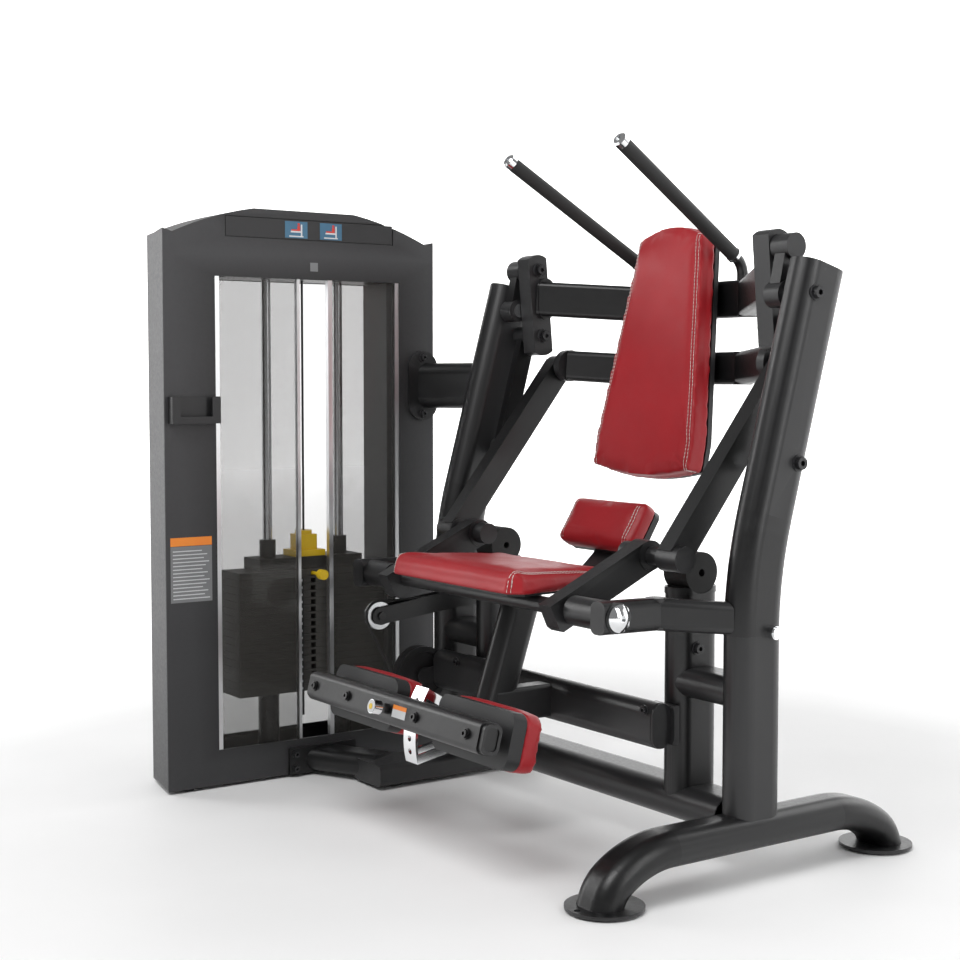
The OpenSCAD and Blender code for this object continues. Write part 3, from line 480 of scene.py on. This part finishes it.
# header: two squares with plain seated figures
HEADER = TOWER_FACE - 0.9
FIGURES = (-258, -158)
printed("header_squares", HEADER, [(m - 32, 1378, m + 32, 1420) for m in FIGURES], PRINT_BLUE)
seats, bodies = [], []
for m in FIGURES:
    seats += [(m - 20, 1381, m + 20, 1384), (m + 13, 1384, m + 17, 1413), (m - 16, 1392, m + 13, 1396)]
    bodies += [(m + 3, 1396, m + 11, 1409), (m + 4, 1410, m + 10, 1416), (m - 14, 1396, m + 3, 1400)]
printed("header_seats", HEADER + PRINT, seats, PRINT_PALE)
printed("header_figures", HEADER + PRINT, bodies, PRINT_RED)

# side label: an orange band over ruled lines, with no words
LABEL = TOWER_FACE + 0.1
printed("side_label", LABEL, [(-610, 474, -500, 612)], PRINT_GREY)
printed("side_label_band", LABEL, [(-610, 613, -500, 634)], PRINT_ORANGE)
RULED = [(-604, 482 + 9 * i, -506 - (i * 37 % 23), 484.5 + 9 * i) for i in range(14)]
printed("side_label_lines", LABEL + PRINT, RULED, PRINT_PALE)
printed("small_tag", LABEL, [(-219, 1296, -197, 1318)], PRINT_GREY)
# one mark for each plate on the strip beside the stack
MARKS = [(-243, 217 + 18.8 * i, -231, 223 + 18.8 * i) for i in range(16)]
printed("strip_marks", -768.0, MARKS, PRINT_PALE)
# dark channel inside the tower, behind the far edge of the window
boxes("inner_channel", [((-872, 16, 97), (-752, 44, 1274))], MATS["tower_grey"])

BEAM = -25.8
boxes("beam_label", [((22, BEAM, -13), (74, BEAM + 0.5, 4))], PRINT_PALE, "shin_unit", place=on_shin)
boxes("beam_label_band", [((22, BEAM, 4), (74, BEAM + 0.5, 13))], PRINT_ORANGE, "shin_unit", place=on_shin)
outward = -inward(on_shin)
disc("knob_face", on_shin(0, -66, 0), outward, 0.0135, 0.0012, PRINT_PALE, "pull_pin")
disc("knob_button", on_shin(0, -67.2, 0), outward, 0.0062, 0.0012, MATS["yellow"], "pull_pin")

# ---------------------------------------------------------------- floor, backdrop, light and camera
scene = bpy.context.scene
FAR = 14.0                      # half the floor's width and the distance of the backdrop
WALL = 9.0                      # height of the backdrop
GLOW, BACKDROP_GLOW = 0.95, 0.85
GLOW_NEAR, GLOW_FAR = 1.5, 4.5  # metres from the middle over which the ground brightens to white


def studio_mat(name, glow):
    """Pale paper; the floor's glow starts away from the machine, and the backdrop's is everywhere."""
    m, nt, b = new_mat(name)
    v = coords(nt)
    nt.links.new(ramp(nt, noise(nt, v, 2.0), (0.3, 0.92), (0.7, 0.94)), b.inputs["Base Color"])
    b.inputs["Roughness"].default_value = 0.6
    b.inputs["Emission Color"].default_value = (1, 1, 1, 1)
    if glow == "far":
        span = add(nt, "ShaderNodeVectorMath", operation="LENGTH")
        nt.links.new(v, span.inputs[0])
        reach = add(nt, "ShaderNodeMapRange")
        limits = {"From Min": GLOW_NEAR, "From Max": GLOW_FAR, "To Min": 0.0, "To Max": GLOW}
        for key, value in limits.items():
            reach.inputs[key].default_value = value
        nt.links.new(span.outputs["Value"], reach.inputs["Value"])
        nt.links.new(reach.outputs["Result"], b.inputs["Emission Strength"])
    else:
        b.inputs["Emission Strength"].default_value = BACKDROP_GLOW
    return m


ground = [(-FAR, -FAR, 0), (FAR, -FAR, 0), (FAR, FAR, 0), (-FAR, FAR, 0)]
floor = mesh_obj("floor", ground, [(0, 1, 2, 3)], studio_mat("floor_paper", "far"))
corners = [(x, y, z) for x, y in ((-FAR, -FAR), (-FAR, FAR), (FAR, FAR)) for z in (0, WALL)]
backdrop = mesh_obj("backdrop", corners, [(0, 2, 3, 1), (2, 4, 5, 3)], studio_mat("backdrop_paper", "all"))

world = bpy.data.worlds.new("studio")
scene.world = world
world.use_nodes = True
world.node_tree.nodes["Background"].inputs["Color"].default_value = (1, 1, 1, 1)
world.node_tree.nodes["Background"].inputs["Strength"].default_value = 0.26


def area(name, place, target, width, height, power):
    light = bpy.data.lights.new(name, "AREA")
    light.shape = "RECTANGLE"
    light.size, light.size_y, light.energy = width, height, power
    o = bpy.data.objects.new(name, light)
    scene.collection.objects.link(o)
    o.location = place
    o.rotation_euler = (Vector(target) - Vector(place)).to_track_quat("-Z", "Y").to_euler()


area("key", (0.9, -2.4, 3.9), (0, 0, 0.6), 2.2, 2.2, 100)
area("side", (4.0, 0.9, 2.0), (0.2, 0, 0.7), 1.2, 2.8, 42)
area("rim_left", (-3.0, -2.2, 2.2), (-0.2, 0, 0.8), 1.0, 2.6, 32)
area("rim_back", (0.6, 3.4, 2.8), (0, 0, 0.9), 2.4, 2.4, 45)

lens = bpy.data.cameras.new("camera")
lens.lens, lens.sensor_width, lens.clip_end = 60.64, 36, 60
camera = bpy.data.objects.new("camera", lens)
scene.collection.objects.link(camera)
camera.location = at(2922.3, -2214.0, 1012.8)  # at the viewing angle of the reference
camera.rotation_euler = (math.radians(86.556), 0, math.radians(55.445))
scene.camera = camera
scene.view_settings.view_transform = "Standard"
